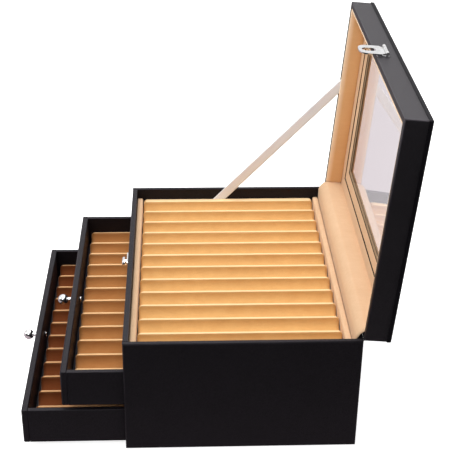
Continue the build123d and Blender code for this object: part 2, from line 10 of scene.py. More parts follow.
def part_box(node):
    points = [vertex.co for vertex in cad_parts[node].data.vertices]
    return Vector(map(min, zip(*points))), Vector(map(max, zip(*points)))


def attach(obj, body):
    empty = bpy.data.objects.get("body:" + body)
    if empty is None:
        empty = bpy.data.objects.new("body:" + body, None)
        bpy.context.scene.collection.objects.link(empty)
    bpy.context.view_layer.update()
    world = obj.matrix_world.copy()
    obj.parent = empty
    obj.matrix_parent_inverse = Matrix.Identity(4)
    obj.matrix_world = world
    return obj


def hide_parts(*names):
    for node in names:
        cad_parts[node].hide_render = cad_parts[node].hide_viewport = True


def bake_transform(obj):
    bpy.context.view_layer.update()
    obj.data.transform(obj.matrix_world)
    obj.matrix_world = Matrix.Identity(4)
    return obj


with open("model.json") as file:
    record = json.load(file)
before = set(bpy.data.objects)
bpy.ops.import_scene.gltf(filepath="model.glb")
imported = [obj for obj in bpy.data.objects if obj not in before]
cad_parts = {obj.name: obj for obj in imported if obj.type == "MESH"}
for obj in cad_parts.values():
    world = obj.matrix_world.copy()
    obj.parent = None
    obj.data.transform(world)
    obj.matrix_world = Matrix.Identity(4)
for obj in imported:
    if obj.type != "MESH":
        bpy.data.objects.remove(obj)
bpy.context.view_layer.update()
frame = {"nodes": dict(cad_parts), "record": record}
nodes = frame["nodes"]

MM = 0.001

# ---------------------------------------------------------------- sizes shared with the model
LID_OPEN = math.radians(94.6)
HINGE = Vector((0, 105, 116)) * MM
GROOVES = 12
GROOVE_PITCH = 23.2 * MM
GROOVE_DEPTH = 8.5 * MM
GROOVE_RADIUS = 10.6 * MM
RIDGE_ROUND = 0.95 * MM
RIBBON_WIDTH = 10 * MM
HINGE_PLACE = 95 * MM

# The lid's own frame: x as the case, y from its front to its hinges, z up when it is shut.
LID = Matrix(
    (
        (1, 0, 0, HINGE.x),
        (0, math.cos(LID_OPEN), math.sin(LID_OPEN), HINGE.y),
        (0, -math.sin(LID_OPEN), math.cos(LID_OPEN), HINGE.z),
        (0, 0, 0, 1),
    )
)
CASE = Matrix.Identity(4)


def srgb(red, green, blue):
    """A colour written as 0 to 255 on screen, as the linear values that shaders take."""
    def linear(value):
        value /= 255
        return value / 12.92 if value <= 0.04045 else ((value + 0.055) / 1.055) ** 2.4

    return (linear(red), linear(green), linear(blue), 1)


# ---------------------------------------------------------------- shader groups
def shader_group(name, inputs, outputs):
    """An empty shader group with named number inputs and outputs."""
    group = bpy.data.node_groups.new(name, "ShaderNodeTree")
    group.interface.new_socket("Vector", in_out="INPUT", socket_type="NodeSocketVector")
    for label, value in inputs.items():
        socket = group.interface.new_socket(label, in_out="INPUT", socket_type="NodeSocketFloat")
        socket.default_value = value
    for label in outputs:
        group.interface.new_socket(label, in_out="OUTPUT", socket_type="NodeSocketFloat")
    entry = group.nodes.new("NodeGroupInput")
    leave = group.nodes.new("NodeGroupOutput")
    return group, entry, leave


def join(tree, source, target):
    """Link two sockets."""
    tree.links.new(target, source)


def math_node(tree, operation, first, second=None):
    """A Math node whose inputs are sockets or numbers."""
    node = tree.nodes.new("ShaderNodeMath")
    node.operation = operation
    for socket, value in zip(node.inputs, (first, second)):
        if value is None:
            continue
        if isinstance(value, (int, float)):
            socket.default_value = value
        else:
            join(tree, value, socket)
    return node.outputs[0]


def times(tree, value, factor):
    """A value multiplied by a socket or a number."""
    return math_node(tree, "MULTIPLY", value, factor)


def weighed(tree, first, second, share):
    """Two values added up, the first with this share and the second with the rest."""
    return math_node(tree, "ADD", times(tree, first, share), times(tree, second, 1 - share))


def noise_node(tree, vector, scale, detail, roughness=0.5):
    """A noise texture's value over a vector, at a scale's socket."""
    node = tree.nodes.new("ShaderNodeTexNoise")
    node.inputs["Detail"].default_value = detail
    node.inputs["Roughness"].default_value = roughness
    join(tree, vector, node.inputs["Vector"])
    join(tree, scale, node.inputs["Scale"])
    return node.outputs["Fac"]


def spread(tree, value, low, high, to_low=0.0, to_high=1.0):
    """A value mapped from one range to another, held at the ends."""
    node = tree.nodes.new("ShaderNodeMapRange")
    join(tree, value, node.inputs["Value"])
    ends = {"From Min": low, "From Max": high, "To Min": to_low, "To Max": to_high}
    for label, number in ends.items():
        node.inputs[label].default_value = number
    return node.outputs["Result"]


def pebble_grain():
    """Pebbled leatherette: cells with soft creases, fine pores and broad unevenness."""
    group, entry, leave = shader_group(
        "Pebble grain", {"Cell size": 0.9 * MM}, ("Height", "Crease", "Broad")
    )
    scale = math_node(group, "DIVIDE", 1.0, entry.outputs["Cell size"])
    warp = group.nodes.new("ShaderNodeTexNoise")
    warp.inputs["Detail"].default_value = 1.0
    join(group, entry.outputs["Vector"], warp.inputs["Vector"])
    join(group, times(group, scale, 0.7), warp.inputs["Scale"])
    shift = group.nodes.new("ShaderNodeVectorMath")
    shift.operation = "MULTIPLY_ADD"
    join(group, warp.outputs["Color"], shift.inputs[0])
    shift.inputs[1].default_value = (0.6 * MM,) * 3
    join(group, entry.outputs["Vector"], shift.inputs[2])
    cells = group.nodes.new("ShaderNodeTexVoronoi")
    cells.feature = "DISTANCE_TO_EDGE"
    join(group, shift.outputs[0], cells.inputs["Vector"])
    join(group, scale, cells.inputs["Scale"])
    dome = spread(group, cells.outputs["Distance"], 0.0, 0.32)
    pores = noise_node(group, entry.outputs["Vector"], times(group, scale, 3.5), 2.0)
    height = math_node(group, "ADD", dome, times(group, pores, 0.25))
    join(group, height, leave.inputs["Height"])
    join(group, math_node(group, "SUBTRACT", 1.0, dome), leave.inputs["Crease"])
    broad = noise_node(group, entry.outputs["Vector"], times(group, scale, 0.02), 3.0)
    join(group, broad, leave.inputs["Broad"])
    return group


def soft_nap():
    """Velour or suede pile: fine fibres, brushed patches and broad unevenness."""
    group, entry, leave = shader_group(
        "Soft nap", {"Pile size": 0.35 * MM, "Patch size": 18 * MM}, ("Height", "Pile", "Brushed")
    )
    fine_scale = math_node(group, "DIVIDE", 1.0, entry.outputs["Pile size"])
    fine = noise_node(group, entry.outputs["Vector"], fine_scale, 3.0, 0.6)
    patch_scale = math_node(group, "DIVIDE", 1.0, entry.outputs["Patch size"])
    patch = noise_node(group, entry.outputs["Vector"], patch_scale, 4.0, 0.55)
    stretch = group.nodes.new("ShaderNodeMapping")
    stretch.inputs["Scale"].default_value = (1.0, 0.22, 1.0)
    join(group, entry.outputs["Vector"], stretch.inputs["Vector"])
    streaks = noise_node(group, stretch.outputs[0], times(group, patch_scale, 9.0), 3.0)
    join(group, fine, leave.inputs["Height"])
    join(group, spread(group, fine, 0.3, 0.7), leave.inputs["Pile"])
    both = weighed(group, patch, streaks, 0.6)
    join(group, spread(group, both, 0.28, 0.72), leave.inputs["Brushed"])
    return group


def handled_metal():
    """Polished metal that has been handled: faint smudges and hairlines."""
    group, entry, leave = shader_group("Handled metal", {"Smudge size": 6 * MM}, ("Smudge", "Hairline"))
    scale = math_node(group, "DIVIDE", 1.0, entry.outputs["Smudge size"])
    smudge = noise_node(group, entry.outputs["Vector"], scale, 4.0, 0.6)
    stretch = group.nodes.new("ShaderNodeMapping")
    stretch.inputs["Scale"].default_value = (12.0, 1.0, 1.0)
    join(group, entry.outputs["Vector"], stretch.inputs["Vector"])
    hair = noise_node(group, stretch.outputs[0], times(group, scale, 5.0), 2.0)
    join(group, spread(group, smudge, 0.4, 0.7), leave.inputs["Smudge"])
    join(group, spread(group, hair, 0.35, 0.65), leave.inputs["Hairline"])
    return group


def ribbon_weave():
    """Satin ribbon: fine cross ribs over the ribbon's own map, in millimetres."""
    group, entry, leave = shader_group("Ribbon weave", {"Rib pitch": 0.45}, ("Height", "Rib"))
    split = group.nodes.new("ShaderNodeSeparateXYZ")
    join(group, entry.outputs["Vector"], split.inputs[0])
    turn = math_node(group, "DIVIDE", 2 * math.pi, entry.outputs["Rib pitch"])
    finer_turn = times(group, turn, 1.6)
    ribs = math_node(group, "SINE", times(group, split.outputs["Y"], turn))
    threads = math_node(group, "SINE", times(group, split.outputs["X"], finer_turn))
    both = weighed(group, ribs, threads, 0.7)
    join(group, both, leave.inputs["Height"])
    join(group, spread(group, both, -1.0, 1.0), leave.inputs["Rib"])
    return group


GRAIN = pebble_grain()
NAP = soft_nap()
HANDLED = handled_metal()
WEAVE = ribbon_weave()


# ---------------------------------------------------------------- materials
def new_material(name, roughness=0.5, metallic=0.0, **fixed):
    """A Principled material with fixed shader numbers, its tree and its shader."""
    material = bpy.data.materials.new(name)
    material.use_nodes = True
    tree = material.node_tree
    shader = tree.nodes["Principled BSDF"]
    shader.inputs["Roughness"].default_value = roughness
    shader.inputs["Metallic"].default_value = metallic
    for label, value in fixed.items():
        shader.inputs[label.replace("_", " ")].default_value = value
    return material, tree, shader


def place_group(tree, group, coordinates="Object", **values):
    """A shader group in a material, fed with coordinates and its own values."""
    node = tree.nodes.new("ShaderNodeGroup")
    node.node_tree = group
    source = tree.nodes.new("ShaderNodeTexCoord")
    join(tree, source.outputs[coordinates], node.inputs["Vector"])
    for label, value in values.items():
        node.inputs[label.replace("_", " ")].default_value = value
    return node


def mix_colours(tree, factor, first, second):
    """Two colours mixed by a value's socket."""
    node = tree.nodes.new("ShaderNodeMix")
    node.data_type = "RGBA"
    join(tree, factor, node.inputs["Factor"])
    for socket, colour in ((node.inputs[6], first), (node.inputs[7], second)):
        if isinstance(colour, tuple):
            socket.default_value = colour
        else:
            join(tree, colour, socket)
    return node.outputs[2]


def bump(tree, shader, height, strength, distance):
    """A Bump node from a height to the shader's normal."""
    node = tree.nodes.new("ShaderNodeBump")
    node.inputs["Strength"].default_value = strength
    node.inputs["Distance"].default_value = distance
    join(tree, height, node.inputs["Height"])
    join(tree, node.outputs[0], shader.inputs["Normal"])


def worn_edges(tree):
    """Where a wrapped board's rounded edges are: 1 on them, 0 on its flats."""
    node = tree.nodes.new("ShaderNodeAttribute")
    node.attribute_name = "wear"
    return node.outputs["Fac"]


PEBBLE_SIZE = 0.75 * MM
LEATHER_ROUGHNESS = 0.46
CREASE_COLOUR = srgb(3, 3, 4)
RUBBED_COLOUR = srgb(38, 35, 40)


def leatherette(name, dark, pale, gloss):
    """Fine-grained black leatherette, a little paler and smoother where its edges rub."""
    material, tree, shader = new_material(name, LEATHER_ROUGHNESS, **{"Specular IOR Level": gloss})
    shader.inputs["Specular Tint"].default_value = (1.0, 0.92, 1.0, 1)
    grain = place_group(tree, GRAIN, Cell_size=PEBBLE_SIZE)
    crease, broad = grain.outputs["Crease"], grain.outputs["Broad"]
    body = mix_colours(tree, broad, dark, pale)
    creased = mix_colours(tree, times(tree, crease, 0.6), body, CREASE_COLOUR)
    rubbed = times(tree, worn_edges(tree), spread(tree, broad, 0.3, 0.7, 0.25, 0.8))
    join(tree, mix_colours(tree, rubbed, creased, RUBBED_COLOUR), shader.inputs["Base Color"])
    rough = math_node(tree, "ADD", times(tree, crease, 0.2), LEATHER_ROUGHNESS - 0.06)
    rough = math_node(tree, "SUBTRACT", rough, times(tree, rubbed, 0.1))
    join(tree, rough, shader.inputs["Roughness"])
    bump(tree, shader, grain.outputs["Height"], 0.8, 0.14 * MM)
    return material


def napped(name, dark, pale, lit, sizes, sheen):
    """Velour, suede or felt, with a painted highlight in its lit colour along ridge tops and lining
    edges, with its pile and patch sizes.
    """
    material, tree, shader = new_material(
        name, 0.9, **{"Sheen Weight": sheen, "Sheen Roughness": 0.35, "Specular IOR Level": 0.15}
    )
    shader.inputs["Sheen Tint"].default_value = (1.0, 0.88, 0.72, 1)
    nap = place_group(tree, NAP, Pile_size=sizes[0], Patch_size=sizes[1])
    brushed = mix_colours(tree, nap.outputs["Brushed"], dark, pale)
    shaded = tuple(channel * 0.80 for channel in dark[:3]) + (1,)
    fibres = mix_colours(tree, spread(tree, nap.outputs["Pile"], 0.0, 1.0, 0.45, 1.0), shaded, brushed)
    # Painted highlight: the lit colour laid over the ridge tops and the lid linings' lower edge.
    painted_highlight = tree.nodes.new("ShaderNodeAttribute")
    painted_highlight.attribute_name = "painted_highlight"
    join(tree, mix_colours(tree, painted_highlight.outputs["Fac"], fibres, lit), shader.inputs["Base Color"])
    bump(tree, shader, nap.outputs["Height"], 0.45, 0.10 * MM)
    return material


def chrome(name, roughness=0.08):
    """Bright plated metal with faint smudges."""
    material, tree, shader = new_material(name, roughness, 1.0)
    handled = place_group(tree, HANDLED)
    tint = mix_colours(tree, handled.outputs["Smudge"], (0.80, 0.80, 0.81, 1), (0.68, 0.67, 0.66, 1))
    join(tree, tint, shader.inputs["Base Color"])
    smudged = times(tree, handled.outputs["Smudge"], 0.10)
    join(tree, math_node(tree, "ADD", smudged, roughness), shader.inputs["Roughness"])
    bump(tree, shader, handled.outputs["Hairline"], 0.05, 0.02 * MM)
    return material


def glass(name):
    """Clear window glass, tinted pinkish grey as a painted reflection of the lined interior."""
    material, tree, shader = new_material(name, 0.0, **{"Transmission Weight": 1.0, "IOR": 1.5})
    # Painted reflection: a pinkish-grey tint for the lined interior seen in the glass.
    shader.inputs["Base Color"].default_value = (0.86, 0.81, 0.84, 1)
    return material


def satin(name):
    """Pale satin ribbon with cross ribs, on the ribbon's own map."""
    material, tree, shader = new_material(name, 0.55, **{"Sheen Weight": 0.3, "Sheen Roughness": 0.4})
    weave = place_group(tree, WEAVE, "UV")
    tint = mix_colours(tree, weave.outputs["Rib"], srgb(240, 243, 248), srgb(250, 252, 255))
    join(tree, tint, shader.inputs["Base Color"])
    bump(tree, shader, weave.outputs["Height"], 0.4, 0.05 * MM)
    return material


# Sizes of the pile and of the brushed patches.
VELOUR_NAP = (0.32 * MM, 14 * MM)
SUEDE_NAP = (0.28 * MM, 22 * MM)
FELT_NAP = (0.5 * MM, 12 * MM)

LEATHER = leatherette("black leatherette", srgb(16, 14, 19), srgb(24, 22, 28), 0.23)
# Painted light: a paler, glossier copy of the leatherette, so that the lid's faces look more brightly
# lit.
PAINTED_LIT_LID_LEATHER = leatherette("black leatherette of the lid", srgb(19, 17, 21), srgb(27, 25, 30), 0.5)
# Painted shade: a darker, duller copy of the leatherette for the lid's top board, so that its edge reads
# as a dark line.
PAINTED_SHADE_TOP_LEATHER = leatherette("black leatherette of the lid's top", srgb(15, 13, 17), srgb(22, 20, 25), 0.10)
VELOUR = napped(
    "tan velour", srgb(212, 161, 99), srgb(226, 178, 115), srgb(248, 212, 162), VELOUR_NAP, 0.5
)
# Darker copies of the tan velour for the drawers: painted shade, where the case front and the drawer
# above shadow them.
MIDDLE_SHADED_VELOUR = napped(
    "tan velour of the middle drawer", srgb(170, 111, 61), srgb(184, 127, 73), srgb(238, 192, 140),
    VELOUR_NAP, 0.4,
)
# Painted shade: the lower drawer's velour is darker still, under the middle drawer.
LOWER_SHADED_VELOUR = napped(
    "tan velour of the lower drawer", srgb(107, 53, 22), srgb(120, 64, 30), srgb(216, 164, 116),
    VELOUR_NAP, 0.3,
)
LINING = napped(
    "light tan suede", srgb(214, 177, 141), srgb(224, 190, 155), srgb(242, 214, 184), SUEDE_NAP, 0.25
)
# Painted shade: a more orange copy of the suede for the lid's side walls, in the tone these walls take
# in shade.
PAINTED_SHADE_WALL_LINING = napped(
    "tan suede of the lid's walls", srgb(232, 184, 131), srgb(241, 197, 145), srgb(248, 222, 192),
    SUEDE_NAP, 0.25,
)
# Painted shade: a darker taupe copy of the lining for the moulding's lip, which lies in shade by the
# glass.
PAINTED_SHADE_LIP_CLOTH = napped(
    "taupe cloth", srgb(150, 126, 98), srgb(164, 140, 112), srgb(164, 140, 112), SUEDE_NAP, 0.1
)
# Painted shadow: a dark cloth for the frames' side walls, where the gaps between them lie in shade.
PAINTED_SHADOW_GAP_CLOTH = napped("dark painted_shadow_gap", srgb(34, 22, 14), srgb(44, 30, 20), srgb(44, 30, 20), SUEDE_NAP, 0.0)
CHROME = chrome("chrome")
DULL_CHROME = chrome("dull chrome", 0.3)
GLASS = glass("window glass")
RIBBON = satin("satin ribbon")
FELT = napped("black felt", srgb(18, 18, 18), srgb(34, 34, 34), srgb(34, 34, 34), FELT_NAP, 0.2)

SLOTS = {
    "leatherette": LEATHER, "velour": VELOUR, "soft_lining": LINING, "chrome": CHROME,
    "glass": GLASS, "ribbon": RIBBON, "felt": FELT,
}


def paint(piece, material):
    """Give a piece one material."""
    piece.data.materials.clear()
    piece.data.materials.append(material)


for part in frame["record"]["subparts"]:
    paint(nodes[part["node"]], SLOTS[part["material_slot"]])


# ---------------------------------------------------------------- mesh helpers
def new_piece(name, mesh, material, body, slot, *replaced):
    """A finished bmesh as an object that rides on a body and stands for CAD nodes."""
    data = bpy.data.meshes.new(name)
    mesh.to_mesh(data)
    mesh.free()
    data.materials.append(material)
    piece = bpy.data.objects.new(name, data)
    bpy.context.scene.collection.objects.link(piece)
    if body:
        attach(piece, body)
    if replaced:
        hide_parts(*replaced)
    return piece


def smooth_all(mesh):
    """Shade every face of a bmesh smooth."""
    for face in mesh.faces:
        face.smooth = True


def close_up(mesh):
    """Merge doubles and turn the faces outwards."""
    bmesh.ops.remove_doubles(mesh, verts=mesh.verts, dist=1e-6)
    bmesh.ops.recalc_face_normals(mesh, faces=mesh.faces)


def merged_copy(node):
    """A CAD node's mesh as a bmesh, its loose triangles joined into flat faces."""
    mesh = bmesh.new()
    mesh.from_mesh(nodes[node].data)
    bmesh.ops.remove_doubles(mesh, verts=mesh.verts, dist=1e-6)
    bmesh.ops.dissolve_limit(mesh, angle_limit=math.radians(1), verts=mesh.verts, edges=mesh.edges)
    return mesh


def sharp_edges(mesh, degrees, shortest=0.0):
    """A bmesh's edges that are sharper than an angle and longer than a length."""
    limit = math.radians(degrees)
    return [e for e in mesh.edges if e.calc_length() > shortest and e.calc_face_angle(0) > limit]


def round_off(mesh, edges, radius, segments, clamped=True):
    """Round some edges of a bmesh."""
    bmesh.ops.bevel(
        mesh, geom=edges, offset=radius, affect="EDGES", segments=segments, profile=0.5,
        material=-1, clamp_overlap=clamped,
    )


def box_in(node, place):
    """A CAD node's lowest and highest corners in a local frame."""
    back = place.inverted()
    points = [back @ vert.co for vert in nodes[node].data.vertices]
    low = Vector([min(p[axis] for p in points) for axis in range(3)])
    high = Vector([max(p[axis] for p in points) for axis in range(3)])
    return low, high


def waver(point, size, amount, seed):
    """A smooth small offset for a soft surface at a point."""
    return noise.noise(point / size + Vector((seed, seed * 1.7, -seed))) * amount


# How squarely a face of a board points along an axis and still counts as one of its flats.
BOARD_FLAT = 0.995


def eased(node, radius, material, slot, body, place=CASE, shortest=5 * MM):
    """A rigid CAD node with its long sharp edges eased, standing for that node."""
    mesh = merged_copy(node)
    round_off(mesh, sharp_edges(mesh, 40, shortest), radius, 2)
    wear = mesh.loops.layers.float.new("wear")
    turn = place.to_3x3().transposed()
    for face in mesh.faces:
        rounded = max(abs(value) for value in turn @ face.normal) < BOARD_FLAT
        face.smooth = rounded
        for loop in face.loops:
            loop[wear] = 1.0 if rounded else 0.0
    new_piece(node + "_eased", mesh, material, body, slot, node)


# ---------------------------------------------------------------- wrapped boards
DRAWERS = ("middle", "lower")
for board in (
    "case_side_left", "case_side_right", "case_floor", "drawer_shelf", "tray_deck", "front_rail",
):
    eased(board, 0.7 * MM, LEATHER, "leatherette", "case")
# Crisper edges at the hinge line, so that the boards close it.
eased("case_back", 0.15 * MM, LEATHER, "leatherette", "case")
eased("lid_back", 0.15 * MM, PAINTED_LIT_LID_LEATHER, "leatherette", "lid", LID)
eased("lid_top", 0.6 * MM, PAINTED_SHADE_TOP_LEATHER, "leatherette", "lid", LID)
for board in ("lid_front", "lid_side_left", "lid_side_right"):
    eased(board, 0.6 * MM, PAINTED_LIT_LID_LEATHER, "leatherette", "lid", LID)
for tier in DRAWERS:
    eased(f"{tier}_drawer_front", 0.8 * MM, LEATHER, "leatherette", f"{tier}_drawer")
    for board in ("side_left", "side_right", "back", "bottom"):
        eased(f"{tier}_drawer_{board}", 0.5 * MM, LEATHER, "leatherette", f"{tier}_drawer")


STRIP_THICKNESS = 0.2 * MM
STRIP_DEPTH = 4 * MM
STRIP_PROUD = 0.18 * MM
LEAF_CLEARANCE = 1.5 * MM
STRIP_END = 0.6 * MM


def hinge_line_strips():
    """Thin leatherette strips on the case's rim that close the hinge line beside the hinges."""
    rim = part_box("case_side_right")[1]
    leaf_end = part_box("hinge_leaves_case")[1].x + LEAF_CLEARANCE
    leaf_start = 2 * HINGE_PLACE - leaf_end
    end = rim.x - STRIP_END
    low = Vector((0, rim.y - STRIP_DEPTH, rim.z))
    high = Vector((0, rim.y + STRIP_PROUD, rim.z + STRIP_THICKNESS))
    mesh = bmesh.new()
    for low.x, high.x in ((-end, -leaf_end), (-leaf_start, leaf_start), (leaf_end, end)):
        place = Matrix.LocRotScale((low + high) / 2, None, high - low)
        bmesh.ops.create_cube(mesh, size=1, matrix=place)
    new_piece("hinge_line_strips", mesh, LEATHER, "case", "leatherette")


hinge_line_strips()


# ---------------------------------------------------------------- grooved inserts
GATHERING = 0.157
SAG, SAG_LENGTH = 0.12 * MM, 15 * MM
SWAY, SWAY_LENGTH = 0.18 * MM, 24 * MM
# The velour gets a painted highlight down to this far below the ridge tops, and it fades out over this
# height.
HIGHLIGHT_END, HIGHLIGHT_FADE = 0.85 * MM, 0.5 * MM
# Radii of the inserts' rounded front and rear ends.
TRAY_ENDS = (4 * MM, 4 * MM)
DRAWER_ENDS = (4 * MM, 1.5 * MM)


def groove_section(steps_ridge=4, steps_groove=14):
    """One groove from ridge centre to ridge centre: x from its middle, z from the ridge tops."""
    rise = GROOVE_RADIUS - GROOVE_DEPTH
    reach = GROOVE_RADIUS + RIDGE_ROUND
    across = math.sqrt(reach**2 - (rise + RIDGE_ROUND) ** 2)
    tip = math.atan2(across, rise + RIDGE_ROUND)
    half = [(-GROOVE_PITCH / 2, 0.0)]
    for step in range(steps_ridge + 1):
        turn = tip * step / steps_ridge
        half.append((-across + RIDGE_ROUND * math.sin(turn), -RIDGE_ROUND * (1 - math.cos(turn))))
    hollow = []
    for step in range(1, steps_groove):
        turn = tip * (1 - 2 * step / steps_groove)
        hollow.append((-GROOVE_RADIUS * math.sin(turn), rise - GROOVE_RADIUS * math.cos(turn)))
    return half + hollow + [(-x, z) for x, z in reversed(half[1:])]


def insert_section(half):
    """The whole insert's upper line across its grooves, from -half to half."""
    points = []
    for index in range(GROOVES):
        middle = (index - (GROOVES - 1) / 2) * GROOVE_PITCH
        points += [(middle + x, z) for x, z in groove_section()]
    edge = GROOVES * GROOVE_PITCH / 2
    side = [(half, -RIDGE_ROUND), (half - RIDGE_ROUND * 0.3, -RIDGE_ROUND * 0.3)]
    if half - edge > 2 * RIDGE_ROUND:
        side.append((half - RIDGE_ROUND, 0.0))
    return [(-x, z) for x, z in side] + points + [(edge, 0.0)] + list(reversed(side))


def end_drop(distance, radius):
    """How far the top falls at this distance from an insert's rounded end."""
    if distance >= radius:
        return 0.0
    return radius - math.sqrt(radius**2 - (radius - distance) ** 2)


def gathered(share):
    """Rows along an insert, spread so that they gather at its ends."""
    return share - GATHERING * math.sin(2 * math.pi * share)


def grooved_insert(name, node, body, material, end_rounds, seed, rows=54):
    """Velour over foam: scooped grooves, soft ridges and rounded ends, in the node's own box."""
    low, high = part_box(node)
    section = insert_section((high.x - low.x) / 2)
    columns = len(section) - 1
    mesh = bmesh.new()
    bmesh.ops.create_grid(mesh, x_segments=columns, y_segments=rows, size=0.5)
    depth, floor = high.y - low.y, low.z - high.z + 0.5 * MM
    for vert in mesh.verts:
        x, z = section[round((vert.co.x + 0.5) * columns)]
        along = gathered(round((vert.co.y + 0.5) * rows) / rows) * depth
        z -= end_drop(along, end_rounds[0]) + end_drop(depth - along, end_rounds[1])
        place = Vector((x, low.y + along, high.z + max(z, floor)))
        place.z -= SAG + waver(place, SAG_LENGTH, SAG, seed)
        place.x += waver(place, SWAY_LENGTH, SWAY, seed + 5) * (1 if abs(x) < high.x - 2 * MM else 0)
        vert.co = place
    border = [edge for edge in mesh.edges if edge.is_boundary]
    made = bmesh.ops.extrude_edge_only(mesh, edges=border)
    for vert in (item for item in made["geom"] if isinstance(item, bmesh.types.BMVert)):
        vert.co.z = low.z
    bmesh.ops.holes_fill(mesh, edges=[edge for edge in mesh.edges if edge.is_boundary])
    bmesh.ops.recalc_face_normals(mesh, faces=mesh.faces)
    smooth_all(mesh)
    # Painted highlight on the ridge tops, where the light catches them.
    painted_highlight = mesh.verts.layers.float.new("painted_highlight")
    for vert in mesh.verts:
        fall = high.z - vert.co.z
        vert[painted_highlight] = max(0.0, min(1.0, (HIGHLIGHT_END - fall) / HIGHLIGHT_FADE))
    piece = new_piece(name, mesh, material, body, "velour", node)


grooved_insert("tray_velour", "tray_insert", "case", VELOUR, TRAY_ENDS, 1.0)
for tier, velour, seed in (("middle", MIDDLE_SHADED_VELOUR, 2.0), ("lower", LOWER_SHADED_VELOUR, 3.0)):
    grooved_insert(
        f"{tier}_velour", f"{tier}_drawer_insert", f"{tier}_drawer", velour, DRAWER_ENDS, seed
    )


# ---------------------------------------------------------------- padded bars and linings
def cut_across(mesh, axis, low, high, spacing):
    """Cut a mesh across one axis at a regular spacing."""
    count = max(1, round((high - low) / spacing))
    for index in range(1, count):
        place, along = Vector((0, 0, 0)), Vector((0, 0, 0))
        place[axis], along[axis] = low + (high - low) * index / count, 1.0
        geometry = mesh.verts[:] + mesh.edges[:] + mesh.faces[:]
        bmesh.ops.bisect_plane(mesh, geom=geometry, dist=1e-7, plane_co=place, plane_no=along)


SLAB_SPACING = 6 * MM
FRAME_SPACING = 8 * MM
# The lid's linings get a painted highlight up to this height above their lower edge, and it fades out
# over this one.
LINING_HIGHLIGHT_END, LINING_HIGHLIGHT_FADE = 1.6 * MM, 0.8 * MM


def soft_slab(
    name, node, body, facing, rounding, seed, corner=0.0, puff=0.0, place=CASE, swell=0.0,
    reach=0.0, material=LINING,
):
    """A padded panel in a CAD node's place: rounded, a little crowned, with the cloth's unevenness."""
    low, high = box_in(node, place)
    for axis in range(3):
        low[axis] += min(facing[axis], 0) * swell
        high[axis] += max(facing[axis], 0) * swell
    high.y += reach
    middle, size = (low + high) / 2, high - low
    thin = max(range(3), key=lambda axis: abs(facing[axis]))
    mesh = bmesh.new()
    bmesh.ops.create_cube(mesh, size=1.0)
    bmesh.ops.scale(mesh, vec=size, verts=mesh.verts)
    bmesh.ops.translate(mesh, vec=middle, verts=mesh.verts)
    if corner:
        posts = [e for e in mesh.edges if abs((e.verts[0].co - e.verts[1].co).normalized()[thin]) > 0.9]
        round_off(mesh, posts, corner, 6, clamped=False)
    round_off(mesh, sharp_edges(mesh, 60), rounding, 4)
    for axis in range(3):
        if axis != thin:
            cut_across(mesh, axis, low[axis], high[axis], SLAB_SPACING)
    for vert in mesh.verts:
        out = (vert.co[thin] - middle[thin]) * facing[thin] / (size[thin] / 2)
        if out <= 0:
            continue
        crown = 1.0
        for axis in range(3):
            if axis != thin:
                crown *= 1 - (2 * (vert.co[axis] - middle[axis]) / size[axis]) ** 4
        shift = puff * crown + waver(vert.co, 20 * MM, 0.15 * MM, seed) * min(crown * 4, 1)
        vert.co[thin] += facing[thin] * shift * out
    # Painted highlight along the lid linings' lower edge, where the light catches them.
    painted_highlight = mesh.verts.layers.float.new("painted_highlight")
    for vert in mesh.verts if place is LID else ():
        fall = low.z + LINING_HIGHLIGHT_END - vert.co.z
        vert[painted_highlight] = max(0.0, min(1.0, fall / LINING_HIGHLIGHT_FADE))
    bmesh.ops.transform(mesh, matrix=place, verts=mesh.verts)
    close_up(mesh)
    smooth_all(mesh)
    piece = new_piece(name, mesh, material, body, "soft_lining", node)


soft_slab("front_bar", "tray_front_pad", "case", (0, 0, 1), rounding=1.5 * MM, seed=4.0)
soft_slab("rear_bar", "tray_rear_pad", "case", (0, 0, 1), rounding=1.5 * MM, seed=5.0)
soft_slab(
    "left_lid_panel", "lid_lining_left", "lid", (1, 0, 0), rounding=0.6 * MM, seed=6.0,
    corner=1.5 * MM, puff=0.4 * MM, place=LID, reach=1.0 * MM, material=PAINTED_SHADE_WALL_LINING,
)
soft_slab(
    "right_lid_panel", "lid_lining_right", "lid", (-1, 0, 0), rounding=0.9 * MM, seed=7.0,
    corner=1.5 * MM, puff=0.3 * MM, place=LID, swell=0.9 * MM, reach=1.0 * MM, material=PAINTED_SHADE_WALL_LINING,
)
soft_slab(
    "front_lid_panel", "lid_lining_front", "lid", (0, 1, 0), rounding=1.1 * MM, seed=8.0,
    puff=0.2 * MM, place=LID, swell=1.4 * MM,
)


